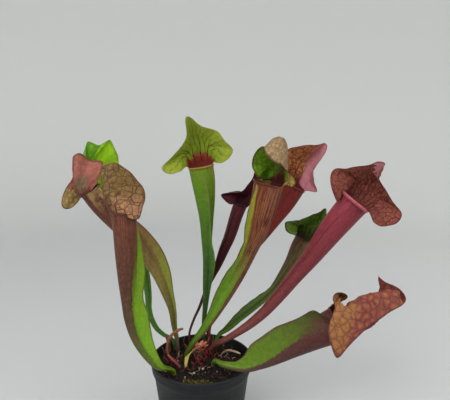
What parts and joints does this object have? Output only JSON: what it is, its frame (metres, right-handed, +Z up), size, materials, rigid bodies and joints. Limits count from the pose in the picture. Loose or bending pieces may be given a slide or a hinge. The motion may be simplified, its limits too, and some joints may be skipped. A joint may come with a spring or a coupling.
{
  "type": "potted pitcher plant",
  "caption": "Potted trumpet pitcher plant: veined red, tan and green trumpets with lobed hoods, rising from one crown in a round black nursery pot.",
  "frame": {"origin": "middle of the pot's flat bottom", "axes": "+Z up; -Y is the side the plant is seen from; +X is to the right from there"},
  "size_m": [0.3345, 0.1442, 0.3385],
  "materials": {
    "pot_plastic": "fine matt black moulded plastic",
    "peat_soil": "dark moist peat with grit",
    "crown_tissue": "fleshy, slightly shiny",
    "moss": "soft, dull",
    "leaf_front_left": "thin satin leaf",
    "leaf_back_left": "thin satin leaf",
    "leaf_far_green": "thin satin leaf",
    "leaf_tall_green": "thin satin leaf",
    "leaf_dark": "thin satin leaf",
    "leaf_middle": "thin satin leaf",
    "leaf_red": "thin satin leaf",
    "leaf_great_red": "thin satin leaf",
    "leaf_small": "thin satin leaf",
    "leaf_low_front": "thin satin leaf",
    "dead_leaf_stalk": "dry, matt",
    "red_shoot": "fleshy, satin",
    "withered_leaf": "dry, matt",
    "dried_strand": "dry, matt",
    "young_shoot": "fleshy, satin"
  },
  "bodies": {
    "root": {"pot": "pot_plastic", "soil": "peat_soil", "crown": "crown_tissue", "moss": "moss", "pitcher_front_left": "leaf_front_left", "pitcher_back_left": "leaf_back_left", "pitcher_far_green": "leaf_far_green", "pitcher_tall_green": "leaf_tall_green", "pitcher_dark": "leaf_dark", "pitcher_middle": "leaf_middle", "pitcher_red": "leaf_red", "pitcher_great_red": "leaf_great_red", "pitcher_small": "leaf_small", "pitcher_low_front": "leaf_low_front", "dead_petiole": "dead_leaf_stalk", "red_shoot": "red_shoot", "withered_leaf": "withered_leaf", "dried_strand": "dried_strand", "young_shoot": "young_shoot"}
  },
  "joints": []
}
